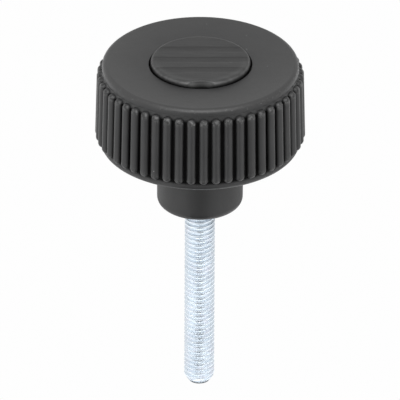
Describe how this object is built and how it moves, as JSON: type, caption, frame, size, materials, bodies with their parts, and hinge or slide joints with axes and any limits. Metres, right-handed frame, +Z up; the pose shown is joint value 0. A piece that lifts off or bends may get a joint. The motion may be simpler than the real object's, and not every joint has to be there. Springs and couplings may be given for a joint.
{
  "type": "knurled knob",
  "caption": "Round clamping knob with half-round grip ribs, a snap-in cap, a hollow webbed underside and a threaded stud on its hub.",
  "frame": {"origin": "centre of the hub's seating face, where the stud leaves the knob", "axes": "+Z up the knob's axis, from the stud to the cap; the stud points down -Z; the picture looks along +Y"},
  "size_m": [0.041, 0.041, 0.0713],
  "materials": {
    "body_plastic": "fine moulded grain, dark grey",
    "cap_plastic": "fine moulded grain, dark grey",
    "zinc_steel": "bright zinc plating"
  },
  "bodies": {
    "root": {"knob_body": "body_plastic", "cover_cap": "cap_plastic", "threaded_stud": "zinc_steel"}
  },
  "joints": []
}
